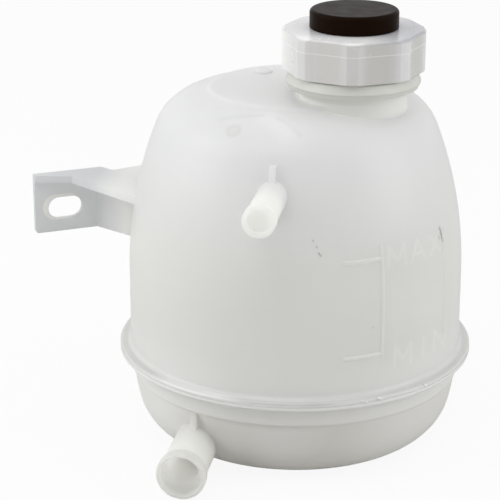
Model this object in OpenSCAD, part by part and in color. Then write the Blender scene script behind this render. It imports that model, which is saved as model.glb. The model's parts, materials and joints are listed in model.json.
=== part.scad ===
// Coolant expansion tank: two welded translucent halves, a side bracket with a slot,
// an offset threaded neck, an open hose nozzle, a closed hose stub and a screw cap
// that holds a pressure valve and a vacuum valve.
// Millimetres, +Z up, origin at the centre of the base, hose nozzle towards -Y.

/* [Tank body] */
// Outside diameter of the upper half's wall
body_d = 147; // [138:1:156]
// Wall thickness of both halves
wall = 2.6; // [2:0.1:3.2]
// Height of the weld face between the two halves
weld_z = 40; // [36:1:46]
// How far the weld flange stands out from the wall
flange_w = 4.8; // [3:0.1:6]
// Thickness of the upper half's flange
flange_t = 1.4; // [1:0.1:2]
// Thickness of the lower half's flange
low_flange_t = 2; // [1.4:0.1:2.6]
// Radius of the fillet between the upper half's wall and its flange
flange_fillet = 2; // [1:0.1:3]

/* [Dome] */
// Height where the straight wall starts to curve inwards
dome_z = 75; // [68:1:82]
// Radius of the long side curve
side_curve_r = 177; // [165:1:200]
// Height where the side curve turns into the shoulder
shoulder_z = 140; // [134:1:144]
// Radius of the shoulder
shoulder_r = 23; // [20:1:26]
// Slope of the crown above the shoulder, in degrees
crown_slope = 15; // [12:1:18]
// Diameter of the flat land on top
land_d = 75; // [68:1:80]
// Height of the land's edge above the crown
land_step = 0.8; // [0.4:0.1:1.2]
// Width of the slope at the land's edge
land_slope = 2; // [1:0.1:3]

/* [Bowl] */
// How much smaller the lower half's radius is than the upper half's
bowl_inset = 1.1; // [0.4:0.1:2]
// Height where the bowl's side starts to curve inwards
bowl_side_z = 36; // [33:1:38]
// Radius of the bowl's side curve
bowl_side_r = 80; // [70:1:95]
// Height where the bowl's side turns into its bottom corner
bowl_corner_z = 16; // [13:1:18]
// Height of the step below the thicker band at the weld
band_z = 28.5; // [27:0.5:31]
// Extra thickness of that band
band_t = 0.35; // [0.2:0.05:0.8]

/* [Neck] */
// Distance of the neck's axis from the tank's axis
neck_offset = 28.8; // [26:0.2:31]
// Direction of the neck, in degrees from the nozzle's direction
neck_angle = 64; // [50:1:75]
// Outside diameter of the neck below its collar
neck_d = 45.6; // [44:0.1:46]
// How much the neck's radius grows at its root
neck_flare = 1.2; // [0.6:0.1:3]
// Bore of the neck
neck_bore_d = 38; // [36:0.1:39]
// Height of the collar's lower edge
collar_z = 161.6; // [160.6:0.1:162.4]
// Height of the collar from its lower edge to its ridge
collar_ridge = 2.5; // [1.6:0.1:3]
// Height of the collar above its ridge
collar_top = 3.6; // [2.5:0.1:3.8]
// Diameter of the collar at its ridge
collar_d = 57; // [54:0.1:58]
// How much the collar's radius shrinks from its ridge to its top
collar_slope = 1.2; // [0.6:0.1:2]
// Diameter of the neck at the root of its thread
thread_core_d = 46.4; // [45.4:0.1:47]

/* [Top nub] */
// Diameter of the low nub on the land
nub_d = 8; // [6:0.5:10]
// Height of the nub
nub_h = 1.6; // [1:0.1:2.5]
// Place of the nub along X
nub_x = -18; // [-22:0.5:-14]
// Place of the nub along Y
nub_y = 21; // [16:0.5:24]

/* [Nozzle] */
// Place of the nozzle's axis along X
nozzle_x = -33.2; // [-37:0.2:-28]
// Height of the nozzle's axis
nozzle_z = 12.8; // [12.2:0.1:14]
// Distance of the nozzle's mouth from the tank's axis
nozzle_reach = 94.4; // [88:0.2:100]
// Outside diameter of the nozzle
nozzle_d = 18.8; // [18:0.1:19.6]
// Diameter of the retaining bead at the mouth
bead_d = 21; // [20.2:0.1:21.4]
// Length of the bead
bead_l = 5; // [3:0.1:7]
// Bore of the nozzle
nozzle_bore_d = 12.6; // [11:0.1:14]
// Diameter of the wider mouth of the bore
mouth_d = 17.2; // [15.6:0.1:17.4]
// Depth of the wider mouth of the bore
mouth_depth = 6.5; // [5:0.5:12]

/* [Stub] */
// Height of the closed stub's axis
stub_z = 127; // [124:0.5:130]
// Distance of the stub's end from the tank's axis
stub_reach = 97.8; // [90:0.2:104]
// Outside diameter of the stub
stub_d = 12.6; // [11.6:0.1:13.4]
// Diameter of the rim at the stub's end
stub_rim_d = 13.7; // [13:0.1:15]
// Length of the rim at the stub's end
stub_rim_l = 4; // [2:0.1:6]
// Diameter of the blind core behind the stub's end
stub_core_d = 7.6; // [6:0.1:8]
// Diameter of the recess in the stub's end
stub_recess_d = 9.6; // [8:0.1:10.6]
// Depth of the recess in the stub's end
stub_recess = 2; // [1:0.1:3]
// Thickness of the stub's end wall
stub_end_t = 2.4; // [1.6:0.1:3]

/* [Gussets] */
// Thickness of the gussets above the nozzle and the stub
gusset_t = 2.8; // [2:0.1:3.4]
// Height of a gusset above its tube
gusset_h = 6; // [4:0.2:7]
// How far a gusset stands out from the wall
gusset_w = 5; // [3:0.2:8]

/* [Bracket] */
// Turn of the bracket's plate from the X axis, in degrees
bracket_angle = 31; // [26:1:36]
// Height of the bracket's lower edge
bracket_z = 82; // [80:0.5:86]
// Height of the bracket's plate
bracket_h = 27.3; // [25:0.1:30]
// Thickness of the bracket's plate and rib
bracket_t = 3.2; // [2.6:0.1:4]
// Thickness of the bracket's top web
web_t = 3.2; // [2.6:0.1:4]
// Distance of the plate's back face from the tank's axis
plate_back = 65; // [62:0.2:68]
// Distance of the plate's free end from the tank's axis, along the plate
plate_end = 101.6; // [98:0.2:106]
// Distance of the plate's bend from the tank's axis, along the plate
plate_bend = 69.6; // [68:0.2:72]
// Turn of the rib from the plate towards the tank, in degrees
rib_turn = 64; // [58:1:70]
// Direction where the web's back edge runs out on the wall, in degrees from the plate
web_run_out = 100; // [94:1:106]
// Direction where the web's front edge meets the wall, in degrees from the plate
web_meet = 170; // [164:1:174]
// Depth of the web at its belly, from the plate's back face
web_belly = 10; // [8:0.5:14]
// Distance of the web's belly from the plate's free end
web_belly_in = 15.2; // [12:0.2:18]
// Length of the slot
slot_l = 16; // [13:0.1:18]
// Width of the slot
slot_w = 10; // [8:0.1:11]
// Distance of the slot's centre from the plate's free end
slot_in = 14; // [12.5:0.1:15]
// Height of the slot's centre above the bracket's lower edge
slot_up = 11; // [10:0.1:13]
// Bevel round the slot's back
slot_bevel = 0.8; // [0.6:0.1:1.4]
// Cut of the plate's lower free corner
plate_corner = 0.8; // [0.6:0.1:3]

/* [Level marks] */
// Height of the upper level line
max_z = 100; // [96:0.5:104]
// Height of the lower level line
min_z = 58.6; // [55:0.2:66]
// Direction of the near upright line, in degrees from the nozzle's direction
near_line = 38; // [34:0.5:42]
// Direction of the far upright line
far_line = 69; // [64:0.5:74]
// Angle that the level lines cover beside the near upright line
tick_angle = 13.5; // [8:0.5:16]
// Width of the raised lines
line_w = 1; // [0.6:0.1:1.4]
// Height of the raised lines above the wall
line_h = 0.3; // [0.2:0.05:0.6]

/* [Baffles] */
// Directions of the two ribs inside the bowl, in degrees from the nozzle's direction
baffle_angles = [-7.5, 24.5];
// Thickness of the ribs inside the bowl
baffle_t = 1.8; // [1.4:0.1:2.4]
// How far the ribs reach into the bowl
baffle_w = 9; // [6:0.5:14]
// Height of the ribs' upper edges
baffle_z = 27; // [22:0.5:30]

/* [Cap ring] */
// Diameter of the cap's ring over its lobes
ring_d = 60; // [58.8:0.1:62]
// Height of the ring's lower edge
ring_z = 168.3; // [168:0.1:168.8]
// Height of the ring's side
ring_h = 17.6; // [17:0.1:18.4]
// Rise of the ring's top from its edge to the brown crown
ring_rise = 0.3; // [0.2:0.1:1]
// Thickness of the ring's top
ring_top_t = 3; // [2.2:0.1:3.6]
// Diameter of the ring's threaded bore
ring_bore_d = 51.2; // [50.6:0.1:52]
// Diameter of the hole in the ring's top
ring_hole_d = 31.2; // [30.8:0.1:32]
// Count of the grip lobes
lobes = 8; // [6:1:10]
// Angle that each grip pocket covers, in degrees
pocket_angle = 36; // [30:1:40]
// Depth of the grip pockets
pocket_depth = 1.8; // [1:0.1:2]
// Angle of the slope at each side of a pocket
pocket_slope = 6; // [3:1:8]
// Turn of the lobes from the nozzle's direction, in degrees
lobe_turn = 6; // [0:1:22]
// Bevel of the ring's upper edge
ring_bevel = 0.9; // [0.6:0.1:1.2]

/* [Cap crown] */
// Diameter of the brown crown
crown_d = 37.4; // [36:0.1:39]
// Height of the brown crown
crown_h = 7.6; // [6.6:0.1:9]
// Wall of the brown crown
crown_t = 1.8; // [1.4:0.1:2.2]
// Radius of the crown's upper edge
crown_edge = 1.6; // [1:0.1:2]

/* [Valve body] */
// Outside diameter of the valve body in the neck
insert_d = 35.2; // [34:0.1:35.6]
// Bore of the valve body
insert_bore_d = 27.2; // [26.4:0.1:28]
// Height of the valve body's lower end
insert_z = 158; // [157:0.1:158.6]
// Thickness of the flange under the ring's top
insert_flange_t = 1.9; // [1.6:0.1:2.2]
// Diameter of that flange
insert_flange_d = 45; // [44:0.1:46]
// Thickness of the seat lip
seat_t = 2.5; // [2:0.1:3]
// Diameter of the hole in the seat lip
seat_hole_d = 19; // [18:0.1:19.6]
// Height of the valve body's spigot above the ring's top
spigot_h = 3.6; // [2.6:0.1:4.2]
// Diameter of the vent holes
vent_d = 2.6; // [2:0.1:3]
// Section of the O-ring
o_ring_t = 2.6; // [2.2:0.1:2.8]
// Height of the O-ring above the valve body's lower end
o_ring_up = 8; // [7:0.1:9]
// Thickness of the flat gasket on the neck
gasket_t = 1.3; // [1:0.1:1.8]

/* [Valves] */
// Thickness of the pressure valve's seal
seal_t = 1.4; // [1:0.1:1.8]
// Diameter of the pressure valve's seal
seal_d = 25; // [24:0.1:25.6]
// Hole in the seal
seal_hole_d = 9.2; // [9:0.1:10]
// Thickness of the pressure valve's disc
disc_t = 1.7; // [1.4:0.1:2.2]
// Height of the disc's middle boss
boss_h = 3; // [2:0.1:4]
// Diameter of the vacuum valve's plate
vacuum_d = 14; // [13:0.1:15]
// Thickness of the vacuum valve's plate
vacuum_t = 1.4; // [1:0.1:1.6]
// Diameter of the vacuum valve's stem
stem_d = 3; // [2.6:0.1:3.2]
// Length of the vacuum valve's spring
vacuum_spring_l = 3; // [2.6:0.1:4]
// Thickness of the clip on the stem
clip_t = 1.2; // [1:0.1:1.6]
// Mean diameter of the pressure valve's spring
spring_d = 21; // [20.6:0.1:21.6]
// Wire of the pressure valve's spring
spring_wire = 1.5; // [1.2:0.1:1.7]
// Turns of the pressure valve's spring
spring_turns = 6; // [5:1:7]
// Thickness of the spring's upper cup
cup_t = 2.6; // [2:0.1:3.2]

/* [Clearances] */
// Gap between pieces that move on each other
run_gap = 0.3; // [0.2:0.05:0.4]
// Gap between a fixed piece and its seat
seat_gap = 0.05; // [0.02:0.01:0.1]

/* [Hidden] */
$fn = 120;
eps = 0.01;
arc_steps = 16;
body_r = body_d / 2;
bowl_r = body_r - bowl_inset;
flange_r = body_r + flange_w;
land_r = land_d / 2;
// Angle of the wall where the shoulder starts, from the vertical
shoulder_a = asin((shoulder_z - dome_z) / side_curve_r);
// Angle of the bowl's wall where its corner starts, from the vertical
bowl_a = asin((bowl_side_z - bowl_corner_z) / bowl_side_r);
bowl_corner_r = bowl_corner_z / (1 - sin(bowl_a));
shoulder_c = [body_r - side_curve_r + (side_curve_r - shoulder_r) * cos(shoulder_a),
              dome_z + (side_curve_r - shoulder_r) * sin(shoulder_a)];
bowl_corner_c = [bowl_r - bowl_side_r + (bowl_side_r - bowl_corner_r) * cos(bowl_a), bowl_corner_r];
land_z = crown_height(0, land_r) + land_step;
neck_x = neck_offset * sin(neck_angle);
neck_y = -neck_offset * cos(neck_angle);
neck_root_z = shoulder_z - 6;
neck_flare_h = 8;
tube_root = 4;
bore_from = 30;
overcut = 1;
ring_r = ring_d / 2;
ring_rim_z = ring_z + ring_h;
ring_top_z = ring_rim_z + ring_rise;
ring_ceiling_z = ring_top_z - ring_top_t;
insert_flange_z = ring_ceiling_z - run_gap - insert_flange_t;
neck_top_z = insert_flange_z - gasket_t - run_gap;
seat_z = insert_z + seat_t;
seal_z = seat_z + seat_gap;
disc_z = seal_z + seal_t;
disc_top_z = disc_z + disc_t;
boss_z = disc_top_z + boss_h;
clip_z = boss_z + vacuum_spring_l;
stem_top_z = clip_z + clip_t + 0.8;
vacuum_z = seal_z - seat_gap - vacuum_t;
spigot_d = ring_hole_d - 2 * run_gap;
spigot_z = ring_top_z + spigot_h;
cup_z = ring_ceiling_z - cup_t;
crown_z = ring_top_z + run_gap;
o_ring_z = insert_z + o_ring_up;
o_ring_d = neck_bore_d - 2 * run_gap - o_ring_t;
groove_d = o_ring_d - o_ring_t - 2 * seat_gap;
boss_r = 2.9;
port_r = 0.7;
port_at = boss_r + port_r + 0.15;
guide_r = spring_d / 2 - spring_wire / 2 - run_gap;
guide_t = 0.8;
guide_h = 1.2;

// Height of the crown's outer face at radius r, for a face set in by the distance inset
function crown_height(inset, r) =
    let (a = 90 - crown_slope,
         end = shoulder_c + (shoulder_r - inset) * [cos(a), sin(a)])
    end[1] + (end[0] - r) * tan(crown_slope);

// Points of an arc about the point c
function arc(c, r, from, to) =
    [for (i = [0:arc_steps]) let (a = from + (to - from) * i / arc_steps) c + r * [cos(a), sin(a)]];

// Outline of the dome from the weld face to the axis, set in by the distance inset
function dome_outline(inset) = concat(
    [[0, weld_z], [body_r - inset, weld_z]],
    arc([body_r - side_curve_r, dome_z], side_curve_r - inset, 0, shoulder_a),
    arc(shoulder_c, shoulder_r - inset, shoulder_a, 90 - crown_slope),
    [[land_r, crown_height(inset, land_r)], [0, crown_height(inset, land_r)]]);

// Outline of the bowl from the weld face to the axis, set in by the distance inset
function bowl_outline(inset) = concat(
    [[0, weld_z], [bowl_r - inset, weld_z]],
    arc([bowl_r - bowl_side_r, bowl_side_z], bowl_side_r - inset, 0, -bowl_a),
    arc(bowl_corner_c, bowl_corner_r - inset, -bowl_a, -90),
    [[0, inset]]);

module revolve(points) {
    rotate_extrude() polygon(points);
}

// A cylinder along -Y, from the distance from to the distance to
module tube_along_y(d, from, to) {
    translate([0, -from, 0]) rotate([90, 0, 0]) cylinder(d = d, h = to - from);
}

module at_neck() {
    translate([neck_x, neck_y, 0]) children();
}

// Turns a shape that is drawn towards -Y to the direction a
module towards(a) {
    rotate([0, 0, a]) children();
}

// Radius of the dome's wall at the height z below the shoulder
function wall_r(z) = z < dome_z ? body_r
    : body_r - side_curve_r + sqrt(pow(side_curve_r, 2) - pow(z - dome_z, 2));

// Weld flange of the upper half, with a bevelled edge and a fillet to the wall
module upper_flange() {
    edge = flange_t * 0.4;
    top = weld_z + flange_t;
    inner = body_r - wall / 2;
    revolve(concat([[inner, weld_z], [flange_r, weld_z], [flange_r, top - edge], [flange_r - edge, top]],
                   arc([body_r + flange_fillet, top + flange_fillet], flange_fillet, 270, 180),
                   [[inner, top + flange_fillet]]));
}

// Weld flange of the lower half, with a bevelled edge
module lower_flange() {
    edge = low_flange_t * 0.3;
    low = weld_z - low_flange_t;
    inner = bowl_r - wall / 2;
    revolve([[inner, low], [flange_r - edge, low], [flange_r, low + edge], [flange_r, weld_z], [inner, weld_z]]);
}

// Outside of the neck: flared root, collar and plain core under the thread
module neck_outside() {
    r = neck_d / 2;
    core_r = thread_core_d / 2;
    collar_r = collar_d / 2;
    edge = 0.5;
    ridge_z = collar_z + collar_ridge;
    top_z = ridge_z + collar_top;
    at_neck() revolve(concat(
        [[0, neck_root_z], [r + neck_flare, neck_root_z], [r + neck_flare, land_z - neck_flare_h]],
        [for (i = [1:6]) let (a = i * 15) [r + neck_flare * (1 - sin(a)), land_z - neck_flare_h * cos(a)]],
        [[r, collar_z], [collar_r - 2 * edge, collar_z], [collar_r - edge, ridge_z - edge],
         [collar_r, ridge_z - edge], [collar_r, ridge_z], [collar_r - collar_slope, top_z],
         [core_r, top_z], [core_r, neck_top_z - edge], [core_r - edge, neck_top_z], [0, neck_top_z]]));
}

module nub() {
    foot = nub_h * 0.25;
    dome_h = nub_h - foot;
    dome_r = (pow(nub_d / 2, 2) + pow(dome_h, 2)) / (2 * dome_h);
    dome_a = asin(nub_d / 2 / dome_r);
    side = arc([0, land_z + nub_h - dome_r], dome_r, 90 - dome_a, 90 - dome_a / 4);
    translate([nub_x, nub_y, 0])
        revolve(concat([[0, land_z - wall / 2], [nub_d / 2, land_z - wall / 2]], side, [[0, side[arc_steps][1]]]));
}

module stub_outside() {
    translate([0, 0, stub_z]) {
        tube_along_y(stub_d, shoulder_c[0], stub_reach);
        tube_along_y(stub_rim_d, stub_reach - stub_rim_l, stub_reach);
    }
}

module stub_inside() {
    translate([0, 0, stub_z]) {
        tube_along_y(stub_core_d, 0, stub_reach - stub_recess - stub_end_t);
        tube_along_y(stub_recess_d, stub_reach - stub_recess, stub_reach + overcut);
    }
}

// Upright gusset between the wall's face at the distance reach and a tube's top
module gusset(top_z, reach) {
    root = 12;
    sunk = 3;
    translate([-gusset_t / 2, 0, 0]) rotate([90, 0, 90]) linear_extrude(gusset_t)
        polygon([[-reach + root, top_z - sunk], [-reach - gusset_w, top_z - sunk], [-reach - gusset_w, top_z],
                 [-reach - gusset_w * 0.45, top_z + gusset_h], [-reach + root, top_z + gusset_h]]);
}

// Plan of the bracket's top web, in the plate's own directions
web_lip = 0.6;
notch_at = 8;
rib_l = 28;
sunk_in_wall = 1;
rib_dir = [cos(-rib_turn), sin(-rib_turn)];
bend = [-plate_bend, plate_back];
notch = bend + notch_at * rib_dir;
rib_end = bend + rib_l * rib_dir;
web_back = (wall_r(bracket_z + bracket_h) - sunk_in_wall) * [cos(web_run_out), sin(web_run_out)];
web_front = (wall_r(bracket_z + bracket_h) - sunk_in_wall) * [cos(web_meet), sin(web_meet)];
web_plan = [[-plate_end, plate_back], bend, notch, web_back, [-body_r / 4, body_r / 2], [-body_r / 2, 0],
            web_front, [-plate_end + web_belly_in, plate_back - web_belly],
            [-plate_end, plate_back - bracket_t - web_lip]];

// The bracket's slot, with a bevel at the plate's back
module slot() {
    half = (slot_l - slot_w) / 2;
    r = slot_w / 2;
    wide = r + slot_bevel;
    front = bracket_t + overcut;
    translate([-plate_end + slot_in, plate_back, slot_up]) rotate([90, 0, 0]) {
        for (side = [-1, 1])
            translate([side * half, 0, 0])
                revolve([[0, -overcut], [wide, -overcut], [wide, 0], [r, slot_bevel], [r, front], [0, front]]);
        translate([-half, 0, 0]) rotate([90, 0, 90]) linear_extrude(2 * half)
            polygon([[-wide, -overcut], [wide, -overcut], [wide, 0], [r, slot_bevel], [r, front],
                     [-r, front], [-r, slot_bevel], [-wide, 0]]);
    }
}

module bracket() {
    turned = bracket_t * [sin(rib_turn), cos(rib_turn)];
    rotate([0, 0, bracket_angle]) translate([0, 0, bracket_z]) {
        difference() {
            translate([0, plate_back, 0]) rotate([90, 0, 0]) linear_extrude(bracket_t)
                polygon([[-plate_end, plate_corner], [-plate_end + plate_corner, 0], [-plate_bend, 0],
                         [-plate_bend, bracket_h], [-plate_end, bracket_h]]);
            slot();
        }
        linear_extrude(bracket_h)
            polygon([[-plate_bend - bracket_t, plate_back], bend, rib_end, rib_end - turned,
                     [-plate_bend - bracket_t, plate_back - bracket_t]]);
        translate([0, 0, bracket_h - web_t]) linear_extrude(web_t) polygon(web_plan);
    }
}

// Raised upright line on the wall between two heights
module upright_line(a, low, high) {
    steps = 12;
    face = [for (i = [0:steps]) let (z = low + (high - low) * i / steps) [wall_r(z) + line_h, z]];
    turn = line_w / body_r * 180 / PI;
    towards(a - 90 - turn / 2) rotate_extrude(angle = turn)
        polygon(concat([[wall_r(high) - wall / 2, low]], face, [[wall_r(high) - wall / 2, high]]));
}

// Raised level line that ends in the near upright line, just below its face
module level_line(z) {
    r = wall_r(z);
    face = line_h * 0.9;
    towards(near_line - 90 - tick_angle) rotate_extrude(angle = tick_angle)
        polygon([[r - wall / 2, z - line_w / 2], [r + face, z - line_w / 2],
                 [r + face, z + line_w / 2], [r - wall / 2, z + line_w / 2]]);
}

module level_marks() {
    upright_line(near_line, min_z - line_w, max_z + 6);
    upright_line(far_line, min_z - line_w, max_z + 4);
    level_line(max_z);
    level_line(min_z);
}

module upper_shell() {
    color([0.93, 0.94, 0.93, 0.8]) difference() {
        union() {
            revolve(dome_outline(0));
            revolve([[0, land_z - wall], [land_r + land_slope, land_z - wall],
                     [land_r + land_slope, crown_height(0, land_r + land_slope)], [land_r, land_z], [0, land_z]]);
            upper_flange();
            neck_outside();
            nub();
            stub_outside();
            gusset(stub_z + stub_d / 2, wall_r(stub_z + stub_d));
            bracket();
            level_marks();
        }
        translate([0, 0, -eps]) revolve(dome_outline(wall));
        at_neck() translate([0, 0, shoulder_z]) cylinder(d = neck_bore_d, h = neck_top_z - shoulder_z + overcut);
        stub_inside();
    }
}

module nozzle_outside() {
    edge = (bead_d - nozzle_d) / 2;
    translate([nozzle_x, 0, nozzle_z]) {
        tube_along_y(nozzle_d, bowl_corner_c[0] - tube_root, nozzle_reach);
        rotate([90, 0, 0])
            revolve([[0, nozzle_reach - bead_l - edge], [nozzle_d / 2, nozzle_reach - bead_l - edge],
                     [bead_d / 2, nozzle_reach - bead_l], [bead_d / 2, nozzle_reach - edge],
                     [bead_d / 2 - edge, nozzle_reach], [0, nozzle_reach]]);
    }
}

module nozzle_inside() {
    step = (mouth_d - nozzle_bore_d) / 8;
    lead = 0.6;
    translate([nozzle_x, 0, nozzle_z]) {
        tube_along_y(nozzle_bore_d, bore_from, nozzle_reach);
        rotate([90, 0, 0])
            revolve([[0, nozzle_reach - mouth_depth - step], [nozzle_bore_d / 2, nozzle_reach - mouth_depth - step],
                     [mouth_d / 2, nozzle_reach - mouth_depth], [mouth_d / 2, nozzle_reach - lead],
                     [mouth_d / 2 + lead * 2, nozzle_reach + lead], [0, nozzle_reach + lead]]);
    }
}

// Upright ribs inside the bowl
module baffles() {
    intersection() {
        for (a = baffle_angles)
            towards(a) translate([-baffle_t / 2, -bowl_r, wall / 2])
                cube([baffle_t, baffle_w + wall, baffle_z - wall / 2]);
        revolve(bowl_outline(wall / 2));
    }
}

module lower_shell() {
    nozzle_root = sqrt(pow(bowl_r, 2) - pow(nozzle_x, 2)) - sunk_in_wall;
    color([0.86, 0.87, 0.85, 0.8]) {
        difference() {
            union() {
                revolve(bowl_outline(0));
                revolve([[bowl_r - wall / 2, band_z], [bowl_r, band_z],
                         [bowl_r + band_t, band_z + 2 * band_t], [bowl_r + band_t, weld_z],
                         [bowl_r - wall / 2, weld_z]]);
                lower_flange();
                nozzle_outside();
                translate([nozzle_x, 0, 0]) gusset(nozzle_z + nozzle_d / 2, nozzle_root);
            }
            difference() {
                translate([0, 0, eps]) revolve(bowl_outline(wall));
                baffles();
            }
            nozzle_inside();
        }
    }
}

// Plan of one grip pocket: a flat floor between two slopes
module pocket() {
    r = ring_r + overcut;
    a = pocket_angle / 2;
    floor_r = ring_r - pocket_depth;
    polygon([[floor_r, -floor_r * tan(a - pocket_slope)], [ring_r * cos(a), -ring_r * sin(a)],
             [r * cos(a), -r * sin(a)], [r + pocket_depth, 0], [r * cos(a), r * sin(a)],
             [ring_r * cos(a), ring_r * sin(a)], [floor_r, floor_r * tan(a - pocket_slope)]]);
}

module cap_ring() {
    r = ring_r;
    foot = ring_bevel / 2;
    fillet_r = crown_d / 2 + 1.5;
    color([0.94, 0.94, 0.95]) at_neck() difference() {
        revolve([[ring_bore_d / 2, ring_z], [r - foot, ring_z], [r, ring_z + foot],
                 [r, ring_rim_z - ring_bevel], [r - ring_bevel, ring_rim_z], [fillet_r, ring_top_z],
                 [ring_hole_d / 2, ring_top_z], [ring_hole_d / 2, ring_ceiling_z], [ring_bore_d / 2, ring_ceiling_z]]);
        for (i = [0:lobes - 1])
            rotate([0, 0, lobe_turn - 90 + (i + 0.5) * 360 / lobes])
                translate([0, 0, ring_z - overcut]) linear_extrude(ring_h + 2 * overcut) pocket();
    }
}

module cap_crown() {
    r = crown_d / 2;
    top = crown_z + crown_h;
    socket_r = spigot_d / 2 + seat_gap;
    color([0.23, 0.17, 0.14]) at_neck() difference() {
        revolve(concat([[0, crown_z], [r, crown_z]],
                       arc([r - crown_edge, top - crown_edge], crown_edge, 0, 90), [[0, top]]));
        translate([0, 0, crown_z - 1]) cylinder(r = socket_r, h = top - crown_t - crown_z + 1);
        revolve([[socket_r + 0.8, crown_z - 1], [r - crown_t / 2, crown_z - 1],
                 [r - crown_t / 2, top - 2 * crown_t], [socket_r + 0.8, top - 2 * crown_t]]);
    }
}

module valve_body() {
    groove_w = o_ring_t + 0.5;
    color([0.16, 0.16, 0.17]) at_neck() difference() {
        union() {
            translate([0, 0, insert_z]) cylinder(d = insert_d, h = insert_flange_z - insert_z + eps);
            translate([0, 0, insert_flange_z]) cylinder(d = insert_flange_d, h = insert_flange_t);
            translate([0, 0, insert_flange_z]) cylinder(d = spigot_d, h = spigot_z - insert_flange_z);
        }
        translate([0, 0, seat_z]) cylinder(d = insert_bore_d, h = spigot_z - seat_z + 1);
        translate([0, 0, insert_z - 1]) cylinder(d = seat_hole_d, h = seat_t + 2);
        revolve([[groove_d / 2, o_ring_z - groove_w / 2], [insert_d, o_ring_z - groove_w / 2],
                 [insert_d, o_ring_z + groove_w / 2], [groove_d / 2, o_ring_z + groove_w / 2]]);
        for (i = [0:3])
            rotate([0, 0, 45 + i * 90]) translate([0, 0, insert_flange_z - vent_d])
                rotate([90, 0, 0]) cylinder(d = vent_d, h = insert_d);
    }
}

// Plug that holds the pressure valve's spring down, with a rim inside the spring
module spring_cup() {
    color([0.75, 0.75, 0.77]) at_neck() {
        translate([0, 0, cup_z]) cylinder(d = insert_bore_d - 2 * seat_gap, h = cup_t);
        translate([0, 0, cup_z - guide_h]) difference() {
            cylinder(r = guide_r, h = guide_h + eps);
            translate([0, 0, -1]) cylinder(r = guide_r - guide_t, h = guide_h + 1);
        }
    }
}

module neck_gasket() {
    color([0.12, 0.12, 0.12]) at_neck() translate([0, 0, insert_flange_z - gasket_t]) difference() {
        cylinder(d = thread_core_d - 1, h = gasket_t);
        translate([0, 0, -1]) cylinder(d = neck_bore_d + 0.4, h = gasket_t + 2);
    }
}

module neck_o_ring() {
    color([0.12, 0.12, 0.12]) at_neck() translate([0, 0, o_ring_z])
        rotate_extrude() translate([o_ring_d / 2, 0]) circle(d = o_ring_t, $fn = 48);
}

module pressure_disc() {
    color([0.72, 0.6, 0.36]) at_neck() difference() {
        union() {
            translate([0, 0, disc_z]) cylinder(d = seal_d, h = disc_t);
            translate([0, 0, disc_top_z - eps]) cylinder(r = boss_r, h = boss_h + eps);
            translate([0, 0, disc_top_z - eps]) difference() {
                cylinder(r = guide_r, h = guide_h);
                translate([0, 0, -1]) cylinder(r = guide_r - guide_t, h = guide_h + 2);
            }
        }
        translate([0, 0, disc_z - 1]) cylinder(d = stem_d + 2 * run_gap, h = boss_h + disc_t + 2);
        for (i = [0:3])
            rotate([0, 0, i * 90]) translate([port_at, 0, disc_z - 1]) cylinder(r = port_r, h = disc_t + 2);
    }
}

module pressure_seal() {
    color([0.12, 0.12, 0.12]) at_neck() translate([0, 0, seal_z]) difference() {
        cylinder(d = seal_d, h = seal_t);
        translate([0, 0, -1]) cylinder(d = seal_hole_d, h = seal_t + 2);
    }
}

// Helical wire of round section, standing on z = 0 with the height h over its wire
module coil(d, wire, h, turns) {
    sides = 8;
    per_turn = 24;
    n = turns * per_turn;
    rise = (h - wire) / n;
    rings = [for (i = [0:n]) [for (k = [0:sides - 1])
        let (a = i * 360 / per_turn, b = k * 360 / sides, r = d / 2 + wire / 2 * cos(b))
        [r * cos(a), r * sin(a), wire / 2 + i * rise + wire / 2 * sin(b)]]];
    points = [for (ring = rings) for (p = ring) p];
    faces = concat(
        [for (i = [0:n - 1]) for (k = [0:sides - 1])
            let (k2 = (k + 1) % sides)
            [i * sides + k, i * sides + k2, (i + 1) * sides + k2, (i + 1) * sides + k]],
        [[for (k = [sides - 1:-1:0]) k], [for (k = [0:sides - 1]) n * sides + k]]);
    polyhedron(points = points, faces = faces, convexity = 10);
}

module pressure_spring() {
    color([0.7, 0.7, 0.72]) at_neck() translate([0, 0, disc_top_z + seat_gap])
        coil(spring_d, spring_wire, cup_z - disc_top_z - 2 * seat_gap, spring_turns);
}

module vacuum_valve() {
    color([0.72, 0.6, 0.36]) at_neck() {
        translate([0, 0, vacuum_z]) cylinder(d = vacuum_d, h = vacuum_t);
        translate([0, 0, vacuum_z]) cylinder(d = stem_d, h = stem_top_z - vacuum_z);
    }
}

module vacuum_clip() {
    color([0.75, 0.75, 0.77]) at_neck() translate([0, 0, clip_z]) difference() {
        cylinder(d = 2 * boss_r + 1.4, h = clip_t);
        translate([0, 0, -1]) cylinder(d = stem_d + 2 * seat_gap, h = clip_t + 2);
    }
}

module vacuum_spring() {
    wire = 0.5;
    color([0.7, 0.7, 0.72]) at_neck() translate([0, 0, boss_z + seat_gap])
        coil(2 * boss_r - wire, wire, vacuum_spring_l - 2 * seat_gap, 4);
}

upper_shell();
lower_shell();
cap_ring();
cap_crown();
valve_body();
spring_cup();
neck_gasket();
neck_o_ring();
pressure_disc();
pressure_seal();
pressure_spring();
vacuum_valve();
vacuum_clip();
vacuum_spring();
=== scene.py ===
"""The looks of the coolant expansion tank: finishes, threads, raised marks, weld flash, light and camera."""
import json
import math

import bpy
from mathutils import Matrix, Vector, noise


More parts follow.
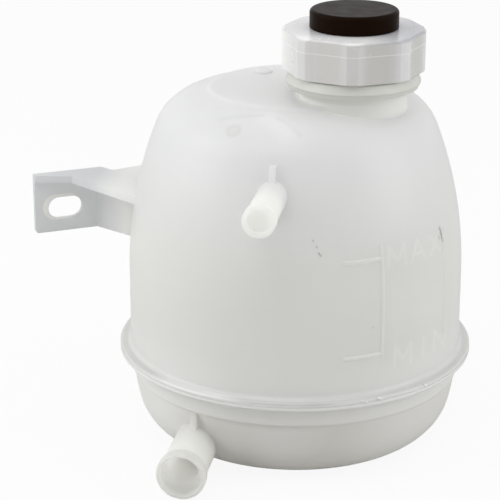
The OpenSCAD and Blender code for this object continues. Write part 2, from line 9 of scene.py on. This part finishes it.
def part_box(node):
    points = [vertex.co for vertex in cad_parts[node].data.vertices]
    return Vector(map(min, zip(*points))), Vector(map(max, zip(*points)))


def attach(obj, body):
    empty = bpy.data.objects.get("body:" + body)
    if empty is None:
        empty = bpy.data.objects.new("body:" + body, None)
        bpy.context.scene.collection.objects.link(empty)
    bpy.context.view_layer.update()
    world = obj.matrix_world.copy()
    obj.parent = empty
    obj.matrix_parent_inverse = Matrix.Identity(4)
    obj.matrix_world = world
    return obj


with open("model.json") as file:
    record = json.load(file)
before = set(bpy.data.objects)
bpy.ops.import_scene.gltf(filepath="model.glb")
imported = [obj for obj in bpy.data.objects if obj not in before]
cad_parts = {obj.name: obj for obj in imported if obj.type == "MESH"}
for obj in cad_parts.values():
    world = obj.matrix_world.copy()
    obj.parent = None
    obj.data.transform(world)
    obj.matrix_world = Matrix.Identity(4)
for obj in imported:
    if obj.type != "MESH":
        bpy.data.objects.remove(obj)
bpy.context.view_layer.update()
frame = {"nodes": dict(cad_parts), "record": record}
MM = 0.001
WHITE = (1.0, 1.0, 1.0, 1.0)

# Sizes of the solids that the pieces below lie on, in millimetres. The side curves in above DOME_Z
BODY_R = 73.5
SIDE_CURVE_R = 177.0
DOME_Z = 75.0
FLANGE_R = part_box("lower_shell")[1].x / MM
WELD_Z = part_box("lower_shell")[1].z / MM

# The neck's axis is the one that the cap turns about
CAP_TURN = next(joint for joint in frame["record"]["behaviour"]["joints"] if joint["name"] == "cap_turn")
NECK = [place / MM for place in CAP_TURN["pos_m"][:2]]

# How far the bracket is turned, and its slot's middle on the plate's front: along, back and height
BRACKET_TURN = math.radians(31)
SLOT = (-87.6, 61.8, 93.0)


def wall_point(angle, z, lift=0.0):
    """Point on the dome's side, angle in degrees from the nozzle's direction, in metres."""
    lean = max(z - DOME_Z, 0.0)
    r = BODY_R - SIDE_CURVE_R + math.sqrt(SIDE_CURVE_R ** 2 - lean ** 2) + lift
    a = math.radians(angle)
    return Vector((r * math.sin(a), -r * math.cos(a), z)) * MM


def bracket_point(along, back, z):
    """Point in the bracket's own frame, along its plate and back through it, in metres."""
    c, s = math.cos(BRACKET_TURN), math.sin(BRACKET_TURN)
    return Vector((along * c - back * s, along * s + back * c, z)) * MM


# Shader nodes

class Nodes:
    """Short ways to add nodes to a material or world."""

    def __init__(self, owner):
        owner.use_nodes = True
        self.tree = owner.node_tree

    def node(self, kind, **settings):
        made = self.tree.nodes.new(kind)
        for key, value in settings.items():
            setattr(made, key, value)
        return made

    def link(self, output, socket):
        self.tree.links.new(output, socket)

    def feed(self, socket, value):
        """Sets a socket to a number or colour, or links it to an output."""
        if isinstance(value, bpy.types.NodeSocket):
            self.link(value, socket)
        else:
            socket.default_value = value

    def math(self, operation, a, b=0.0, clamp=False):
        made = self.node("ShaderNodeMath", operation=operation, use_clamp=clamp)
        self.feed(made.inputs[0], a)
        self.feed(made.inputs[1], b)
        return made.outputs[0]

    def vector(self, operation, a, b=(0.0, 0.0, 0.0)):
        made = self.node("ShaderNodeVectorMath", operation=operation)
        self.feed(made.inputs[0], a)
        self.feed(made.inputs[1], b)
        return made.outputs["Value" if operation in ("DOT_PRODUCT", "LENGTH") else "Vector"]

    def spread(self, value, low, high, to_low=0.0, to_high=1.0):
        """Maps a value from one range to another, and holds it there."""
        made = self.node("ShaderNodeMapRange")
        self.link(value, made.inputs["Value"])
        for name, end in (("From Min", low), ("From Max", high), ("To Min", to_low), ("To Max", to_high)):
            self.feed(made.inputs[name], end)
        return made.outputs["Result"]

    def mix(self, factor, a, b):
        made = self.node("ShaderNodeMix", data_type="RGBA")
        self.feed(made.inputs["Factor"], factor)
        self.feed(made.inputs[6], a)
        self.feed(made.inputs[7], b)
        return made.outputs[2]


class Shader(Nodes):
    """A material with one Principled shader."""

    def __init__(self, name):
        self.material = bpy.data.materials.new(name)
        super().__init__(self.material)
        self.principled = self.tree.nodes["Principled BSDF"]
        self.place = self.node("ShaderNodeTexCoord").outputs["Object"]

    def set(self, **values):
        for name, value in values.items():
            self.feed(self.principled.inputs[name.replace("_", " ")], value)

    def noise(self, scale, detail):
        made = self.node("ShaderNodeTexNoise")
        self.link(self.place, made.inputs["Vector"])
        made.inputs["Scale"].default_value = scale
        made.inputs["Detail"].default_value = detail
        return made.outputs["Fac"]

    def clouds(self, scale, detail, to_low=0.0, to_high=1.0):
        """Noise of which the middle part fills the whole range."""
        return self.spread(self.noise(scale, detail), 0.3, 0.7, to_low, to_high)

    def rounded(self, radius):
        """Normal with edges that look rounded."""
        made = self.node("ShaderNodeBevel", samples=6)
        made.inputs["Radius"].default_value = radius
        return made.outputs["Normal"]

    def bump(self, height, distance, strength, normal=None):
        """Bump from a height, on a normal other than the surface's own where one is given."""
        made = self.node("ShaderNodeBump")
        made.inputs["Strength"].default_value = strength
        made.inputs["Distance"].default_value = distance
        self.link(height, made.inputs["Height"])
        if normal:
            self.link(normal, made.inputs["Normal"])
        self.link(made.outputs["Normal"], self.principled.inputs["Normal"])

    def blend(self, share, other):
        """Ends the material in a mix of its Principled shader and a share of another surface."""
        made = self.node("ShaderNodeMixShader")
        self.feed(made.inputs[0], share)
        self.link(self.principled.outputs[0], made.inputs[1])
        self.link(other, made.inputs[2])
        self.link(made.outputs[0], self.tree.nodes["Material Output"].inputs["Surface"])

    def let_through(self, share, color):
        """Lets a share of the light pass the wall, scattered, as thin milky plastic does."""
        through = self.node("ShaderNodeBsdfTranslucent")
        through.inputs["Color"].default_value = color
        self.blend(share, through.outputs[0])


# Masks

def near_line(shader, start, end, radius, core=0.0):
    """1 within the core of the line between two points, 0 at the radius and beyond."""
    along = end - start
    offset = shader.vector("SUBTRACT", shader.place, tuple(start))
    if along.length:
        passed = shader.vector("DOT_PRODUCT", offset, tuple(along))
        share = shader.math("MULTIPLY", passed, 1 / along.length_squared, clamp=True)
        scaled = shader.node("ShaderNodeVectorMath", operation="SCALE")
        scaled.inputs[0].default_value = tuple(along)
        shader.link(share, scaled.inputs["Scale"])
        offset = shader.vector("SUBTRACT", offset, scaled.outputs["Vector"])
    return shader.spread(shader.vector("LENGTH", offset), core * MM, radius * MM, 1.0, 0.0)


def between(shader, value, span, fade, unit):
    """1 between the two ends of a span, with both ends faded."""
    low, high = span
    rise = shader.spread(value, (low - fade) * unit, (low + fade) * unit)
    fall = shader.spread(value, (high + fade) * unit, (high - fade) * unit)
    return shader.math("MULTIPLY", rise, fall)


def wall_strip(shader, angles, heights, soft_ends, soft=0.2):
    """1 on the side between two angles and two heights. Ends fade over degrees, edges over millimetres."""
    parts = shader.node("ShaderNodeSeparateXYZ")
    shader.link(shader.place, parts.inputs[0])
    toward_nozzle = shader.math("MULTIPLY", parts.outputs["Y"], -1.0)
    turn = shader.math("ARCTAN2", parts.outputs["X"], toward_nozzle)
    along = between(shader, turn, angles, soft_ends, math.radians(1))
    up = between(shader, parts.outputs["Z"], heights, soft, MM)
    return shader.math("MULTIPLY", along, up)


def reach(shader, axis):
    """Place along X, Y or Z, distance R from the tank's axis or N from the neck's axis."""
    if axis in "XYZ":
        parts = shader.node("ShaderNodeSeparateXYZ")
        shader.link(shader.place, parts.inputs[0])
        return parts.outputs[axis]
    middle = NECK if axis == "N" else (0.0, 0.0)
    offset = shader.vector("SUBTRACT", shader.place, (middle[0] * MM, middle[1] * MM, 0.0))
    return shader.vector("LENGTH", shader.vector("MULTIPLY", offset, (1.0, 1.0, 0.0)))


def inside(shader, limits, share):
    """The share where all limits hold, faded to 0 where one doesn't."""
    for axis, start, end in limits:
        step = shader.spread(reach(shader, axis), start * MM, end * MM)
        share = shader.math("MULTIPLY", step, share)
    return share


# Colours that parts are mixed towards: pale and bright ones, mostly for painted light and highlights, and
# darker ones for the weld line, the rubs, painted shade and the painted light round the bracket's slot
PALE = (0.97, 0.97, 0.955, 1.0)
BRIGHT = (0.97, 0.973, 0.985, 1.0)
SEAM = (0.22, 0.21, 0.18, 1.0)
SCUFF = (0.05, 0.045, 0.04, 1.0)
# Painted shade, for lines on the dome's shoulder
PAINTED_SHADE = (0.66, 0.68, 0.68, 1.0)
# Painted light, where light passes the thin plastic round the bracket's slot
SLOT_GLOW = (0.86, 0.85, 0.82, 1.0)

# Colour of the light that has passed a milky wall
THROUGH = (0.955, 0.953, 0.935, 1.0)

# Scuffs on the upper half: (angle, height) of the start and of the end, radius, how dark
SCUFFS = (
    ((14.2, 110.4), (14.4, 109.8), 0.50, 0.9),
    ((15.4, 107.9), (15.7, 107.2), 0.45, 0.8),
    ((16.2, 105.0), (16.8, 103.9), 0.60, 1.1),
    ((67.0, 105.0), (68.3, 99.0), 1.00, 1.3),
    ((67.5, 103.6), (68.0, 101.2), 0.70, 1.6),
    ((65.6, 102.4), (66.2, 100.6), 0.60, 0.8),
    ((69.0, 104.0), (69.8, 102.6), 0.50, 0.6),
    ((34.4, 71.4), (34.6, 71.0), 0.45, 0.7),
)

# Marks on the dome: start and end, core and radius, colour and share. First a painted highlight below the
# land's front edge, then two painted shade lines beside it. The last two are one round mark, a darker ring
# round a paler middle
ROUND_MARK = (-18.5, -50.5, 150.0)
SHEEN_AND_ROUND_MARK = (
    ((-6.0, -43.5, 154.3), (4.0, -52.5, 150.9), 1.0, 6.5, BRIGHT, 0.8),
    ((-25.0, -43.0, 152.0), (-8.0, -42.5, 154.4), 0.2, 2.2, PAINTED_SHADE, 0.4),
    ((-1.0, -44.5, 154.1), (9.4, -52.8, 149.9), 0.2, 1.6, PAINTED_SHADE, 0.3),
    (ROUND_MARK, ROUND_MARK, 2.6, 4.0, (0.66, 0.66, 0.64, 1.0), 0.5),
    (ROUND_MARK, ROUND_MARK, 1.4, 2.6, (0.86, 0.865, 0.87, 1.0), 0.6),
)

# Strips of another colour on and below the weld flange: angles, heights, colour, share and fading ends.
# Besides the dark weld line they are painted highlights and painted light
UPPER_STRIPS = (
    ((-7.0, 20.0), (41.0, 41.25), SEAM, 0.6, 4.0),
    # Painted highlight, the left lamp's reflection along the flange's top
    ((-40.0, -12.0), (41.0, 41.5), PALE, 1.0, 4.0),
)
LOWER_STRIPS = (
    # Painted highlight along the flange's lower edge
    ((-50.0, 24.0), (37.8, 38.6), PALE, 1.0, 4.0),
    # Painted light on the left of the band below the flange
    ((-55.0, -12.0), (30.0, 36.5), PALE, 0.5, 8.0),
)

# Parts of the solids as limits. A limit is an axis, where it starts to hold, and where it holds in full
FLANGE = (("R", 73.6, 74.2), ("Z", 52.0, 46.0), ("Z", 30.0, 34.0))
FLANGE_TOP = (("R", 73.6, 74.2), ("Z", 52.0, 46.0), ("Z", 40.6, 41.2))
FOOT = (("R", 73.0, 73.2), ("Z", 60.0, 44.0), ("Z", 41.0, 42.0))
# Where a highlight is painted along the land's front edge
LAND_EDGE_HIGHLIGHT = (("R", 35.5, 36.8), ("R", 39.4, 38.2), ("Z", 140.0, 142.0), ("X", 2.0, -10.0))
TUBE = (("N", 25.4, 24.4), ("Z", 151.0, 153.0))
COLLAR = (("N", 30.0, 29.0), ("Z", 158.0, 159.0))
STUB = (("Y", -72.5, -84.0), ("Z", 104.0, 108.0))
NOZZLE = (("Y", -66.0, -72.0), ("Z", 29.0, 26.0))
NOZZLE_RIM = (("Y", -87.5, -89.5),)
GUSSET = (("X", -40.0, -38.0), ("X", -27.0, -29.0), ("Y", -66.0, -69.0),
          ("Z", 20.0, 22.0), ("Z", 34.0, 32.0))
BRACKET = (("X", -79.0, -92.0),)
RING_SIDE = ("Z", 185.6, 184.6)
POCKETS = (("N", 29.6, 28.4), RING_SIDE)

# How much less light passes the thick parts. Below 0 it is more, for what is thin
UPPER_THICK = ((FLANGE, 0.5), (FOOT, 0.4), (TUBE, 0.7), (COLLAR, 0.25), (STUB, -0.3))
LOWER_THICK = ((FLANGE, 0.5), (NOZZLE, -0.25))

# Where the colour changes: limits, colour and share. Much of it is painted light and shade, as said row by
# row
UPPER_ZONES = (
    ((("Z", 95.0, 135.0),), (0.875, 0.878, 0.895, 1.0), 1.0),
    # Painted highlight along the land's front edge
    (LAND_EDGE_HIGHLIGHT, BRIGHT, 0.55),
    # Painted light: the flange made paler to lift its shade
    (FLANGE, PALE, 0.2),
    # Painted shade on the flange's top, which catches the light from above
    (FLANGE_TOP, (0.64, 0.64, 0.62, 1.0), 0.5),
    (TUBE, (0.84, 0.845, 0.81, 1.0), 1.0),
    # Painted light on the neck's left side, which lies in the collar's shade
    (TUBE + (("X", 42.0, 10.0),), PALE, 0.9),
    (COLLAR, (0.81, 0.82, 0.765, 1.0), 1.0),
    # Painted light on the side stub, lifting the shade in its recess
    (STUB, PALE, 1.0),
    # Painted shade on the bracket, which stands in the tank's shade
    (BRACKET, (0.60, 0.615, 0.645, 1.0), 0.95),
)
LOWER_ZONES = (
    ((("Z", 29.2, 29.8),), PALE, 0.8),
    # Painted light on the bowl's left side
    ((("X", -10.0, -52.0),), PALE, 1.0),
    # Painted light, weaker, on the bowl's right side
    ((("X", 20.0, 56.0),), PALE, 0.6),
    # Painted light on the gusset under the nozzle, lifting the shade on its side
    (GUSSET, PALE, 1.0),
    # Painted light on the nozzle tube, lifting its shade
    (NOZZLE, PALE, 0.8),
    # Painted shade on the nozzle's rim
    (NOZZLE_RIM, (0.71, 0.71, 0.685, 1.0), 0.9),
)
RING_ZONES = (
    # Painted shade in the ring's pockets, darker in those on the right
    (POCKETS, (0.58, 0.575, 0.555, 1.0), 0.7),
    (POCKETS + (("X", 28.0, 34.0),), (0.46, 0.455, 0.435, 1.0), 0.6),
    # Painted shadow round the crown's foot on the ring's top
    ((("N", 22.5, 18.5), ("Z", 183.5, 184.5)), (0.42, 0.43, 0.48, 1.0), 0.3),
    # Painted shade on the ring's front side
    ((("Y", -30.0, -41.0), RING_SIDE), (0.58, 0.57, 0.54, 1.0), 0.55),
    # Painted light on the ring's left side
    ((("X", 6.0, -3.0), RING_SIDE), PALE, 0.5),
    # Painted light on the front of the ring's top
    ((("Z", 185.0, 185.6), ("Y", -28.0, -36.0)), PALE, 0.45),
    ((("Z", 179.8, 179.95), ("Z", 180.35, 180.2)), BRIGHT, 0.3),
    # Painted shadow of the crown on the ring's top at the right
    ((("Z", 184.2, 185.2), ("X", 34.0, 50.0)), (0.34, 0.345, 0.39, 1.0), 0.7),
)

# Angles and heights of the side where the raised marks are. Edges aren't rounded there
MARKED = ((22.0, 72.0), (48.0, 110.0))


def shade(color, share=1.0):
    """A colour with all its parts scaled by the share."""
    return tuple(part * share for part in color) + (1.0,)


def paint_zones(shader, tint, zones):
    for limits, color, share in zones:
        tint = shader.mix(inside(shader, limits, share), tint, color)
    return tint


def paint_strips(shader, tint, strips):
    for angles, heights, color, share, fade in strips:
        mask = shader.math("MULTIPLY", wall_strip(shader, angles, heights, fade), share)
        tint = shader.mix(mask, tint, color)
    return tint


def paint_scuffs(shader, tint):
    """Grainy dark rubs."""
    for start, end, radius, dark in SCUFFS:
        mask = near_line(shader, wall_point(*start), wall_point(*end), radius)
        grain = shader.spread(shader.noise(2600.0, 1.0), 0.35, 0.55)
        worn = shader.math("MULTIPLY", mask, grain)
        tint = shader.mix(shader.math("MULTIPLY", worn, dark, clamp=True), tint, SCUFF)
    return tint


# Paints the highlight and the shade lines on the dome's shoulder, and the round mark
def paint_sheen_and_round_mark(shader, tint):
    for start, end, core, radius, color, share in SHEEN_AND_ROUND_MARK:
        mask = near_line(shader, Vector(start) * MM, Vector(end) * MM, radius, core)
        tint = shader.mix(shader.math("MULTIPLY", mask, share), tint, color)
    return tint


def paint_slot_glow(shader, tint):
    """A pale band round the bracket's slot, wider at its outer end: painted light where light passes the
    thin plastic at the slot's wall.
    """
    along, back, z = SLOT
    outer, inner = (bracket_point(along + side, back, z + 0.5) for side in (-4.6, 1.4))
    return shader.mix(near_line(shader, outer, inner, radius=6.3, core=5.6), tint, SLOT_GLOW)


def milky(name, color, share, zones=(), strips=(), thick=(), marked=False):
    """Milky polypropylene: a share of the light passes it, and its thickness shows as slow clouds. Its zones
    and strips are mostly painted light and shade; a marked one also gets rubs, the painted highlight and
    shade lines on the dome, the round mark and the painted light round the slot.
    """
    shader = Shader(name)
    tint = shader.mix(shader.clouds(14.0, 2.0), shade(color, 0.955), shade(color))
    tint = paint_zones(shader, tint, zones)
    tint = paint_strips(shader, tint, strips)
    if marked:
        tint = paint_scuffs(shader, tint)
        tint = paint_sheen_and_round_mark(shader, tint)
        tint = paint_slot_glow(shader, tint)
    rough = shader.math("SUBTRACT", shader.clouds(40.0, 2.0, 0.28, 0.31), inside(shader, FLANGE, 0.16))
    shader.set(Base_Color=tint, Roughness=rough, IOR=1.49)
    if share:
        for limits, less in thick:
            left = shader.math("SUBTRACT", 1.0, inside(shader, limits, less))
            share = shader.math("MULTIPLY", share, left)
        shader.let_through(share, THROUGH)
    plain = shader.node("ShaderNodeNewGeometry").outputs["Normal"]
    sharp = wall_strip(shader, *MARKED, soft_ends=2.0, soft=2.0)
    normal = shader.mix(sharp, shader.rounded(0.9 * MM), plain)
    shader.bump(shader.noise(120.0, 2.0), 0.02 * MM, 0.4, normal)
    return shader.material


def moulded(name, color, roughness, depth=0.03, edge=0.4, zones=(), **values):
    """Opaque moulded plastic or rubber with a fine grain. Depth and edge are in millimetres."""
    shader = Shader(name)
    tint = shader.mix(shader.clouds(60.0, 3.0), shade(color, 0.95), shade(color))
    tint = paint_zones(shader, tint, zones)
    rough = shader.clouds(160.0, 4.0, roughness - 0.04, roughness + 0.05)
    shader.set(Base_Color=tint, Roughness=rough, **values)
    shader.bump(shader.noise(420.0, 4.0), depth * MM, 0.6, shader.rounded(edge * MM))
    return shader.material


def metal(name, color, roughness):
    """Turned or pressed metal with a fine grain."""
    shader = Shader(name)
    grain = shader.noise(900.0, 2.0)
    tint = shader.mix(grain, shade(color, 0.85), shade(color))
    rough = shader.spread(grain, 0.2, 0.8, roughness - 0.05, roughness + 0.08)
    shader.set(Base_Color=tint, Metallic=1.0, Roughness=rough)
    shader.bump(grain, 0.01 * MM, 0.4)
    return shader.material


FINISHES = {
    "tank_upper": milky("milky_upper", (0.88, 0.88, 0.865), 0.45,
                        UPPER_ZONES, UPPER_STRIPS, UPPER_THICK, marked=True),
    "raised_marks": milky("milky_marks", (0.93, 0.93, 0.915), 0.35),
    "weld_bead": milky("milky_bead", (0.90, 0.895, 0.87), 0.0),
    "tank_lower": milky("milky_lower", (0.75, 0.74, 0.70), 0.45,
                        LOWER_ZONES, LOWER_STRIPS, LOWER_THICK),
    "cap_white": moulded("white_cap", (0.68, 0.68, 0.685), 0.24, zones=RING_ZONES),
    "cap_brown": moulded("brown_cap", (0.009, 0.004, 0.002), 0.34, depth=0.05,
                         IOR=1.09, Specular_Tint=(1.0, 0.84, 0.78, 1.0)),
    "natural_plastic": moulded("natural_insert", (0.80, 0.79, 0.75), 0.40),
    "seal_rubber": moulded("seal_rubber", (0.014, 0.014, 0.014), 0.62, edge=0.2),
    "brass": metal("turned_brass", (0.66, 0.47, 0.20), 0.28),
    "pressed_steel": metal("pressed_steel", (0.56, 0.56, 0.57), 0.30),
    "spring_steel": metal("spring_steel", (0.45, 0.45, 0.46), 0.33),
}


def dress_nodes():
    """Gives each solid the finish of its slot in the record."""
    slots = {part["node"]: part["material_slot"] for part in frame["record"]["subparts"]}
    for name, obj in frame["nodes"].items():
        if not obj.material_slots:
            obj.data.materials.append(None)
        for held in obj.material_slots:
            held.material = FINISHES[slots[name]]


# Pieces

# Edges of the pieces that turn by more than this look sharp
SHARP_TURN = math.radians(75)


def add_piece(name, rings, slot, body, closed_path=False, finish=None):
    """A mesh through closed rings of points, all with the same count of points."""
    count = len(rings[0])
    verts = [point for ring in rings for point in ring]
    faces = []
    for i in range(len(rings) if closed_path else len(rings) - 1):
        a = i * count
        b = (i + 1) % len(rings) * count
        for j in range(count):
            k = (j + 1) % count
            faces.append((a + j, a + k, b + k, b + j))
    if not closed_path:
        faces.append(tuple(reversed(range(count))))
        faces.append(tuple(range(len(verts) - count, len(verts))))
    mesh = bpy.data.meshes.new(name)
    mesh.from_pydata(verts, [], faces)
    mesh.validate()
    mesh.shade_smooth()
    mesh.set_sharp_from_angle(angle=SHARP_TURN)
    mesh.materials.append(FINISHES[finish or slot])
    obj = bpy.data.objects.new(name, mesh)
    bpy.context.scene.collection.objects.link(obj)
    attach(obj, body)


# Threads: pitch, half widths at root and crest, how deep they sit, and steps of a turn and of the ends
THREAD_PITCH = 4.0
THREAD_ROOT_HALF = 1.25
THREAD_CREST_HALF = 0.45
THREAD_SINK = 0.15
THREAD_STEPS = 72
THREAD_END_STEPS = 20


def add_thread(name, root_r, crest_r, low, high, slot, body):
    """One helical thread ridge about the neck's axis. Its ends sink into the root."""
    steps = int((high - low) / THREAD_PITCH * THREAD_STEPS)
    sunk_r = root_r - math.copysign(THREAD_SINK, crest_r - root_r)
    rings = []
    for i in range(steps + 1):
        angle = math.tau * i / THREAD_STEPS
        z = low + THREAD_PITCH * i / THREAD_STEPS
        fade = max(min(1.0, i / THREAD_END_STEPS, (steps - i) / THREAD_END_STEPS), 0.02)
        top_r = sunk_r + (crest_r - sunk_r) * fade
        section = ((sunk_r, -THREAD_ROOT_HALF), (top_r, -THREAD_CREST_HALF),
                   (top_r, THREAD_CREST_HALF), (sunk_r, THREAD_ROOT_HALF))
        rings.append([Vector((NECK[0] + r * math.cos(angle), NECK[1] + r * math.sin(angle), z + up)) * MM
                      for r, up in section])
    add_piece(name, rings, slot, body)


def add_threads():
    add_thread("neck_thread", root_r=23.2, crest_r=25.0, low=168.4, high=177.2,
               slot="tank_upper", body="tank")
    add_thread("ring_thread", root_r=25.6, crest_r=23.8, low=170.4, high=180.2,
               slot="cap_white", body="cap_ring")


# Strokes: steps along a straight part, and how deep the edges sit in the wall
STROKE_STEPS = 12
STROKE_SINK = 0.02


def add_stroke(name, points, width, lift):
    """A softly raised stroke of moulded plastic along points (angle, height) on the dome's side."""
    across = [s / 5 for s in range(-5, 6)]
    profile = [(s, lift * (1 - abs(s) ** 3) - STROKE_SINK) for s in across]
    rings = []
    for (a0, z0), (a1, z1) in zip(points, points[1:]):
        run = math.radians(a1 - a0) * BODY_R
        rise = z1 - z0
        length = math.hypot(run, rise)
        turn = math.degrees(-rise / length * width / 2 / BODY_R)
        climb = run / length * width / 2
        for i in range(STROKE_STEPS + 1):
            a = a0 + (a1 - a0) * i / STROKE_STEPS
            z = z0 + rise * i / STROKE_STEPS
            rings.append([wall_point(a + turn * s, z + climb * s, h) for s, h in profile])
    add_piece(name, rings, "tank_upper", "tank", finish="raised_marks")


# Letters as strokes in a cell one unit wide and one high
LETTERS = {
    "M": (((0, 0), (0, 1), (0.5, 0.3), (1, 1), (1, 0)),),
    "A": (((0, 0), (0.5, 1), (1, 0)), ((0.22, 0.36), (0.78, 0.36))),
    "X": (((0, 0), (1, 1)), ((0, 1), (1, 0))),
    "I": (((0.5, 0), (0.5, 1)),),
    "N": (((0, 0), (0, 1), (1, 0), (1, 1)),),
}


def add_word(word, low, height, start, cell, gap):
    """Raised letters from the angle start. A letter's cell and the gap after it are in degrees."""
    for place, letter in enumerate(word):
        left = start + place * (cell + gap)
        for number, stroke in enumerate(LETTERS[letter]):
            points = [(left + x * cell, low + y * height) for x, y in stroke]
            add_stroke(f"word_{word.lower()}_{place}_{number}", points, width=1.7, lift=0.05)


# Level lines: angles of the two uprights and of the ticks' free ends, and heights
NEAR_ANGLE = 38.0
FAR_ANGLE = 69.0
TICK_ANGLE = 24.3
LINE_FOOT_Z = 57.4
MIN_Z = 58.6
MAX_Z = 100.0


def add_level_lines():
    """The soft flanks of the level lines, which blend them into the wall."""
    lines = {
        "near": ((NEAR_ANGLE, LINE_FOOT_Z), (NEAR_ANGLE, MAX_Z + 6.2)),
        "far": ((FAR_ANGLE, LINE_FOOT_Z), (FAR_ANGLE, MAX_Z + 4.2)),
        "max": ((TICK_ANGLE, MAX_Z), (NEAR_ANGLE, MAX_Z)),
        "min": ((TICK_ANGLE, MIN_Z), (NEAR_ANGLE, MIN_Z)),
    }
    for name, ends in lines.items():
        add_stroke(f"level_line_{name}", ends, width=2.0, lift=0.32)


# What the welding left sits this far out on the flange
WELD_ROOT_R = FLANGE_R - 0.1
FLASH_STEPS = 720


def flash_size(angle):
    """How far the flash stands out at an angle, and half its height, from noise read round a circle."""
    spot = Vector((math.cos(angle) * 6, math.sin(angle) * 6, 0.0))
    fine = max(0.0, noise.noise(spot * 3))
    slow = max(0.0, noise.noise(spot * 0.7 + Vector((7, 1, 3))))
    half = 0.18 + 0.10 * noise.noise(spot * 2 + Vector((0, 0, 9)))
    return 0.10 + 0.22 * fine + 0.2 * slow, half


def add_weld_flash():
    """The thin uneven bead that welding pressed out between the two flanges."""
    rings = []
    for i in range(FLASH_STEPS):
        a = math.tau * i / FLASH_STEPS
        out, half = flash_size(a)
        ring = []
        for t in (math.tau * k / 6 for k in range(6)):
            r = WELD_ROOT_R + out * math.cos(t)
            ring.append(Vector((r * math.cos(a), r * math.sin(a), WELD_Z + half * math.sin(t))) * MM)
        rings.append(ring)
    add_piece("weld_flash", rings, "tank_lower", "tank", closed_path=True, finish="weld_bead")


# Drops of plastic that the welding left on the flange: angle, height and radius
DROPS = ((29.5, 41.2, 0.5), (31.2, 40.2, 0.55), (35.2, 41.2, 0.75),
         (36.2, 40.2, 0.45), (53.2, 41.3, 0.6), (53.8, 40.2, 0.7))


def drop_ring(centre, size, tilt):
    """Level ring of a ball that is a little flattened, at a tilt from its top."""
    ring = []
    for t in (math.tau * k / 12 for k in range(12)):
        outward = Vector((math.sin(tilt) * math.cos(t), math.sin(tilt) * math.sin(t), 0.8 * math.cos(tilt)))
        ring.append((centre + size * outward) * MM)
    return ring


def add_drops():
    for number, (angle, z, size) in enumerate(DROPS):
        a = math.radians(angle)
        centre = Vector((WELD_ROOT_R * math.sin(a), -WELD_ROOT_R * math.cos(a), z))
        rings = [drop_ring(centre, size, math.pi * (i + 0.15) / 6.3) for i in range(7)]
        add_piece(f"weld_drop_{number}", rings, "tank_lower", "tank", finish="weld_bead")


# Stage, light and camera, in metres

# The floor's half width and grey, and the share of plain white that the camera sees there
FLOOR_HALF = 6.0
FLOOR_GREY = (0.72, 0.72, 0.72, 1.0)
FLOOR_GLOW = 0.91

# The world's light falls from bright to dim as the direction nears the dim side
DIM_SIDE = (0.15, -0.93, -0.34)
BRIGHT_SKY = 0.87
DIM_SKY = 0.12

# Lamps: place, width and height, and power in watts
LAMPS = {
    "left_softbox": ((-1.05, -0.35, 0.65), (0.9, 0.9), 5.9),
    "right_softbox": ((1.05, -0.15, 0.55), (0.7, 0.9), 3.7),
    "top_softbox": ((-0.1, -0.5, 1.0), (0.5, 0.5), 1.3),
}
LAMP_TARGET = (0.0, 0.0, 0.09)

CAMERA_PLACE = (0.1165, -0.7844, 0.3622)
CAMERA_TARGET = (-0.0198, -0.0035, 0.0815)
LENS_MM = 136.4
SENSOR_MM = 36.0


def add_floor():
    """A pale floor that the camera sees as nearly white, with the object's shadow on it."""
    mesh = bpy.data.meshes.new("floor")
    corners = [(x * FLOOR_HALF, y * FLOOR_HALF, 0) for x, y in ((-1, -1), (1, -1), (1, 1), (-1, 1))]
    mesh.from_pydata(corners, [], [(0, 1, 2, 3)])
    floor = bpy.data.objects.new("floor", mesh)
    bpy.context.scene.collection.objects.link(floor)
    shader = Shader("pale_floor")
    shader.set(Base_Color=FLOOR_GREY, Roughness=0.9)
    glow = shader.node("ShaderNodeEmission")
    glow.inputs["Color"].default_value = WHITE
    seen = shader.node("ShaderNodeLightPath").outputs["Is Camera Ray"]
    shader.blend(shader.math("MULTIPLY", seen, FLOOR_GLOW), glow.outputs[0])
    mesh.materials.append(shader.material)


def set_world():
    """Soft light from all round, weaker from the camera's side. The camera and the gloss see white."""
    world = bpy.data.worlds.new("studio")
    bpy.context.scene.world = world
    sky = Nodes(world)
    toward = sky.node("ShaderNodeTexCoord").outputs["Generated"]
    light = sky.spread(sky.vector("DOT_PRODUCT", toward, DIM_SIDE), 0.1, 0.95, BRIGHT_SKY, DIM_SKY)
    rays = sky.node("ShaderNodeLightPath").outputs
    white = rays["Is Camera Ray"]
    for ray in ("Is Glossy Ray", "Is Transmission Ray"):
        white = sky.math("MAXIMUM", white, rays[ray])
    background = sky.tree.nodes["Background"]
    background.inputs["Color"].default_value = WHITE
    sky.link(sky.spread(white, 0.0, 1.0, light, 1.0), background.inputs["Strength"])


def put(obj, place, target):
    """Puts a lamp or camera at a place, turned to a target."""
    obj.location = place
    obj.rotation_euler = (Vector(target) - Vector(place)).to_track_quat("-Z", "Y").to_euler()
    bpy.context.scene.collection.objects.link(obj)


def add_lamps():
    for name, (place, size, power) in LAMPS.items():
        data = bpy.data.lights.new(name, "AREA")
        data.shape = "RECTANGLE"
        data.size, data.size_y = size
        data.energy = power
        put(bpy.data.objects.new(name, data), place, LAMP_TARGET)


def add_camera():
    """The camera that was fitted to the outlines in the photograph."""
    data = bpy.data.cameras.new("camera")
    data.sensor_width = SENSOR_MM
    data.lens = LENS_MM
    camera = bpy.data.objects.new("camera", data)
    put(camera, CAMERA_PLACE, CAMERA_TARGET)
    bpy.context.scene.camera = camera


dress_nodes()
add_threads()
add_word("MAX", low=95.1, height=9.4, start=40.8, cell=6.8, gap=2.6)
add_word("MIN", low=50.6, height=10.4, start=43.2, cell=7.0, gap=2.6)
add_level_lines()
add_weld_flash()
add_drops()
add_floor()
set_world()
add_lamps()
add_camera()
bpy.context.scene.view_settings.view_transform = "Standard"
